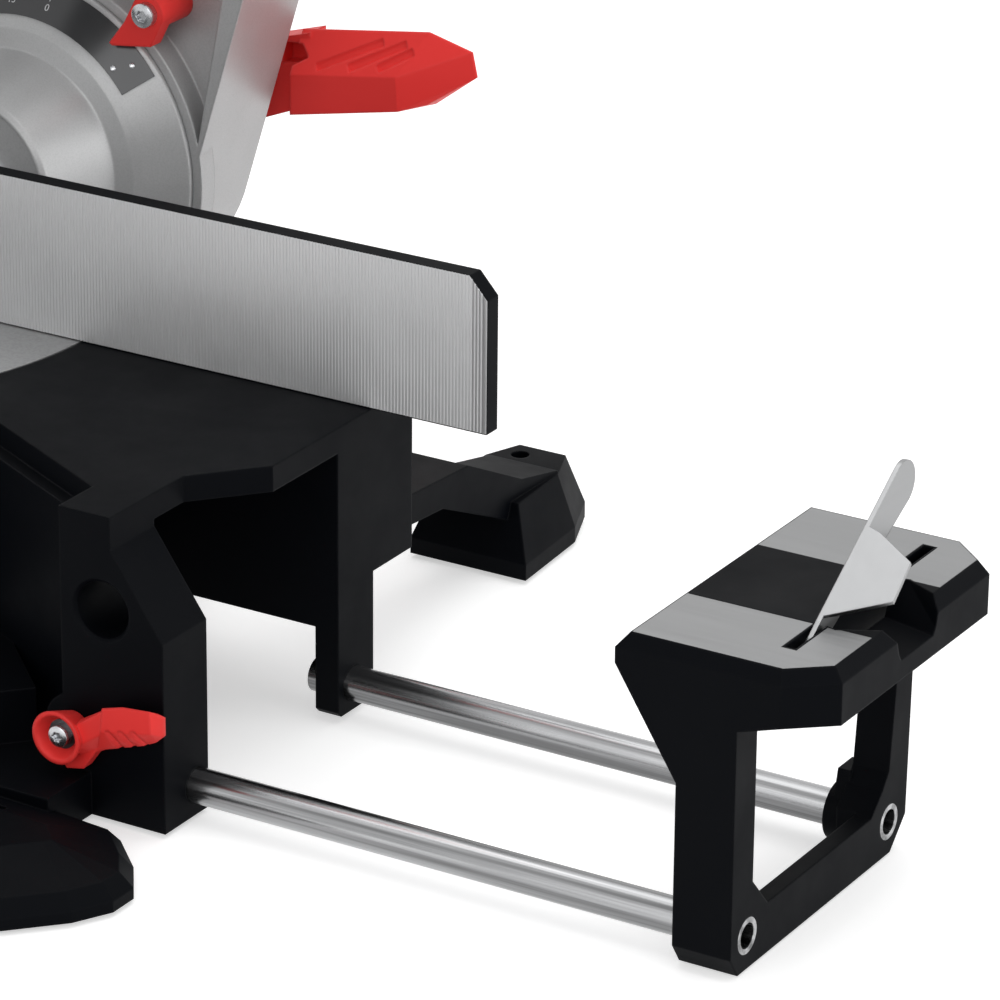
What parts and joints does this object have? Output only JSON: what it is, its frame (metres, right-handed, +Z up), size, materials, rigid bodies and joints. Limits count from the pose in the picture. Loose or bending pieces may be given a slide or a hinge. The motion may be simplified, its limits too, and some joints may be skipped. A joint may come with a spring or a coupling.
{
  "type": "mitre_saw",
  "caption": "Sliding compound mitre saw with tilting head, split fence, turntable and pull-out side supports with flip stops.",
  "frame": {"origin": "on the floor under the turning axis of the table, in the middle of the bench bolt pattern", "axes": "X to the right along the fence, Y to the back, Z up"},
  "size_m": [1.264, 0.9113, 0.6579],
  "materials": {
    "black_paint": "fine satin black paint on an aluminium casting",
    "rubber": "matt moulded rubber",
    "bright_steel": "bright zinc-plated steel",
    "scale_plate": "satin plate with black scale lines",
    "red_plastic": "satin moulded red plastic",
    "cast_alloy": "cast aluminium, fine grain",
    "dark_plastic": "matt moulded black plastic",
    "bronze": "sintered bronze",
    "chromed": "drawn and plated tube",
    "lamination": "lacquered laminations and copper winding",
    "clear_guard": "smoky clear plastic",
    "blade_steel": "ground steel",
    "wear_steel": "worn satin steel plate"
  },
  "bodies": {
    "base": {"base_casting": "black_paint", "rubber_feet": "rubber", "mitre_pivot_bolt": "bright_steel", "mitre_scale": "scale_plate", "fence_right": "black_paint", "fence_left": "black_paint", "lever_screws": "bright_steel"},
    "upper_fence": {"sliding_fence": "black_paint"},
    "fence_clamp": {"fence_knob": "red_plastic"},
    "support_right": {"extension_frame_right": "black_paint", "extension_tubes_right": "chromed", "wear_plates_right": "wear_steel"},
    "stop_right": {"flip_stop_right": "bright_steel"},
    "tube_lock_right": {"lock_lever_right": "red_plastic"},
    "support_left": {"extension_frame_left": "black_paint", "extension_tubes_left": "chromed", "wear_plates_left": "wear_steel"},
    "stop_left": {"flip_stop_left": "bright_steel"},
    "tube_lock_left": {"lock_lever_left": "red_plastic"},
    "table": {"turntable": "cast_alloy", "table_plates": "cast_alloy", "kerf_inserts": "dark_plastic", "mitre_pointer": "red_plastic", "bevel_scale": "scale_plate", "bevel_pivot_bolt": "bright_steel"},
    "mitre_lock": {"mitre_lock_knob": "red_plastic", "mitre_lock_rod": "bright_steel"},
    "detent": {"detent_lever": "red_plastic"},
    "tilt": {"tilt_arm": "cast_alloy", "slide_bushes": "bronze", "bevel_pointer": "red_plastic", "pointer_screw": "bright_steel"},
    "bevel_lock": {"bevel_lever": "red_plastic"},
    "slide_lock": {"slide_lock_knob": "dark_plastic"},
    "carriage": {"slide_rods": "chromed", "rod_end_plate": "dark_plastic", "head_carrier": "cast_alloy", "chop_pivot_pin": "bright_steel"},
    "head": {"upper_guard": "cast_alloy", "gear_case": "cast_alloy", "motor_housing": "dark_plastic", "motor_end_cap": "red_plastic", "brush_caps": "dark_plastic", "handle_shell_left": "dark_plastic", "handle_shell_right": "dark_plastic", "dust_spout": "dark_plastic", "stator": "lamination", "motor_bearings": "bright_steel", "return_spring": "bright_steel"},
    "trigger_switch": {"trigger": "red_plastic"},
    "lock_off": {"lock_off_button": "red_plastic"},
    "spindle_lock": {"spindle_lock_button": "dark_plastic"},
    "shield": {"lower_guard": "clear_guard"},
    "motor_core": {"armature": "lamination", "cooling_fan": "dark_plastic"},
    "cutter": {"saw_blade": "blade_steel", "arbor": "bright_steel", "blade_flanges": "bright_steel", "arbor_bolt": "bright_steel", "drive_gear": "bright_steel"}
  },
  "joints": [
    {"name": "mitre", "type": "hinge", "parent": "base", "child": "table", "pos_m": [0, 0, 0.142], "axis": [0, 0, 1], "range_deg": [-45, 45]},
    {"name": "bevel", "type": "hinge", "parent": "table", "child": "tilt", "pos_m": [0, 0.207, 0.142], "axis": [0, -1, 0], "range_deg": [0, 45]},
    {"name": "head_slide", "type": "slide", "parent": "tilt", "child": "carriage", "axis": [0, -1, 0], "range_m": [0, 0.23]},
    {"name": "chop", "type": "hinge", "parent": "carriage", "child": "head", "pos_m": [0, 0.135, 0.397], "axis": [1, 0, 0], "range_deg": [0, 40], "stiffness_Nm_per_rad": 20, "springref_deg": -60.16},
    {"name": "blade_spin", "type": "hinge", "parent": "head", "child": "cutter", "pos_m": [0, -0.07753, 0.40041], "axis": [1, 0, 0], "continuous": true},
    {"name": "motor_spin", "type": "hinge", "parent": "head", "child": "motor_core", "pos_m": [0, -0.04798, 0.4235], "axis": [1, 0, 0], "continuous": true},
    {"name": "guard_swing", "type": "hinge", "parent": "head", "child": "shield", "pos_m": [0, -0.07753, 0.40041], "axis": [-1, 0, 0], "range_deg": [0, 150]},
    {"name": "trigger_pull", "type": "slide", "parent": "head", "child": "trigger_switch", "axis": [0, 0.6428, 0.766], "range_m": [0, 0.006], "stiffness_N_per_m": 600, "springref_m": -0.004},
    {"name": "lock_off_push", "type": "slide", "parent": "head", "child": "lock_off", "axis": [-1, 0, 0], "range_m": [0, 0.003], "stiffness_N_per_m": 600, "springref_m": -0.004},
    {"name": "spindle_lock_push", "type": "slide", "parent": "head", "child": "spindle_lock", "axis": [0, 0.766, -0.6428], "range_m": [0, 0.003], "stiffness_N_per_m": 600, "springref_m": -0.004},
    {"name": "support_slide_right", "type": "slide", "parent": "base", "child": "support_right", "axis": [-1, 0, 0], "range_m": [0, 0.205]},
    {"name": "stop_fold_right", "type": "hinge", "parent": "support_right", "child": "stop_right", "pos_m": [0.604, -0.11, 0.136], "axis": [-1, 0, 0], "range_deg": [0, 33.5]},
    {"name": "tube_lock_turn_right", "type": "hinge", "parent": "base", "child": "tube_lock_right", "pos_m": [0.28, -0.164, 0.0415], "axis": [0, -1, 0], "range_deg": [0, 60]},
    {"name": "support_slide_left", "type": "slide", "parent": "base", "child": "support_left", "axis": [1, 0, 0], "range_m": [0, 0.205]},
    {"name": "stop_fold_left", "type": "hinge", "parent": "support_left", "child": "stop_left", "pos_m": [-0.604, -0.11, 0.136], "axis": [-1, 0, 0], "range_deg": [0, 33.5]},
    {"name": "tube_lock_turn_left", "type": "hinge", "parent": "base", "child": "tube_lock_left", "pos_m": [-0.28, -0.164, 0.0415], "axis": [0, 1, 0], "range_deg": [0, 60]},
    {"name": "fence_slide", "type": "slide", "parent": "base", "child": "upper_fence", "axis": [-1, 0, 0], "range_m": [0, 0.06]},
    {"name": "fence_knob_turn", "type": "hinge", "parent": "upper_fence", "child": "fence_clamp", "pos_m": [-0.3, 0.02, 0.186], "axis": [0, 1, 0], "range_deg": [0, 180]},
    {"name": "mitre_knob_turn", "type": "hinge", "parent": "table", "child": "mitre_lock", "pos_m": [0, -0.33, 0.112], "axis": [0, 1, 0], "range_deg": [0, 360]},
    {"name": "detent_lift", "type": "hinge", "parent": "table", "child": "detent", "pos_m": [0, -0.316, 0.099], "axis": [-1, 0, 0], "range_deg": [0, 6], "stiffness_Nm_per_rad": 2, "springref_deg": -10.31},
    {"name": "bevel_lock_turn", "type": "hinge", "parent": "tilt", "child": "bevel_lock", "pos_m": [0, 0.3, 0.142], "axis": [0, 1, 0], "range_deg": [0, 35]},
    {"name": "slide_knob_turn", "type": "hinge", "parent": "tilt", "child": "slide_lock", "pos_m": [0.11, 0.2413, 0.355], "axis": [1, 0, 0], "range_deg": [0, 180]}
  ],
  "couplings": [
    {"joint": "motor_spin", "follows": "blade_spin", "ratio": -4},
    {"joint": "guard_swing", "follows": "chop", "ratio": 3.75}
  ]
}
